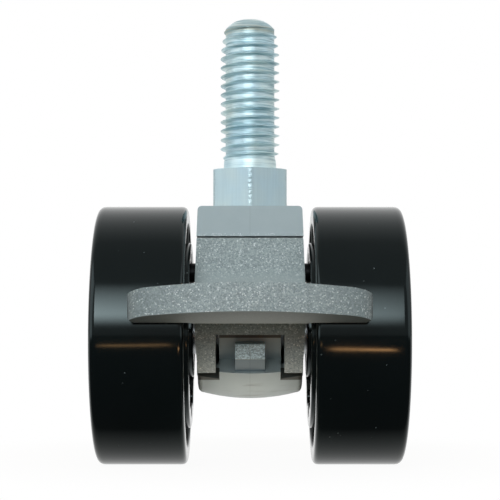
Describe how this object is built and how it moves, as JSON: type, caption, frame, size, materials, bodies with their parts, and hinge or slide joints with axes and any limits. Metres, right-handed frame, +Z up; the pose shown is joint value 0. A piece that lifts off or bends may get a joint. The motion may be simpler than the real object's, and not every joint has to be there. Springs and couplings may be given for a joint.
{
  "type": "braked threaded castor",
  "caption": "Small swivel castor with a threaded stem and hexagon, a grey cast housing between its black wheels, and a fan-shaped brake pedal that locks them.",
  "frame": {"origin": "on the stem's axis, at the top face of the hexagon that seats on the furniture", "axes": "+Z up the stem, X along the axle, the brake pedal towards -Y"},
  "size_m": [0.0468, 0.0503, 0.0721],
  "materials": {
    "zinc_plated_steel": "bright blue-white zinc plating on turned steel",
    "painted_casting": "smooth grey paint on a casting, fine metal fleck",
    "textured_casting": "grainy metallic grey paint on a casting",
    "black_nylon": "glossy moulded black plastic",
    "plain_steel": "ground steel",
    "blackened_steel": "ground steel with a black oxide finish",
    "spring_steel": "drawn spring wire",
    "acetal": "natural moulded acetal"
  },
  "bodies": {
    "stem_body": {"stem": "zinc_plated_steel", "stem_clip": "spring_steel"},
    "swivel_body": {"housing": "painted_casting", "stem_bush": "acetal", "axle": "plain_steel", "axle_clip_left": "spring_steel", "axle_clip_right": "spring_steel", "detent_spring": "spring_steel", "detent_ball_left": "plain_steel", "detent_ball_right": "plain_steel"},
    "left_wheel": {"wheel_left": "black_nylon"},
    "right_wheel": {"wheel_right": "black_nylon"},
    "lever": {"brake_lever": "textured_casting"},
    "lock_bar": {"brake_bar": "blackened_steel"}
  },
  "joints": [
    {"name": "swivel", "type": "hinge", "parent": "stem_body", "child": "swivel_body", "pos_m": [0, 0, 0], "axis": [0, 0, 1], "continuous": true},
    {"name": "wheel_left_spin", "type": "hinge", "parent": "swivel_body", "child": "left_wheel", "pos_m": [0, -0.014, -0.0271], "axis": [1, 0, 0], "continuous": true},
    {"name": "wheel_right_spin", "type": "hinge", "parent": "swivel_body", "child": "right_wheel", "pos_m": [0, -0.014, -0.0271], "axis": [1, 0, 0], "continuous": true},
    {"name": "brake_press", "type": "hinge", "parent": "swivel_body", "child": "lever", "pos_m": [0, -0.014, -0.0271], "axis": [1, 0, 0], "range_deg": [0, 8]},
    {"name": "bar_lift", "type": "slide", "parent": "swivel_body", "child": "lock_bar", "axis": [0, 0, 1], "range_m": [0, 0.00125]}
  ],
  "couplings": [
    {"joint": "bar_lift", "follows": "brake_press", "m_per_rad": 0.00895}
  ]
}
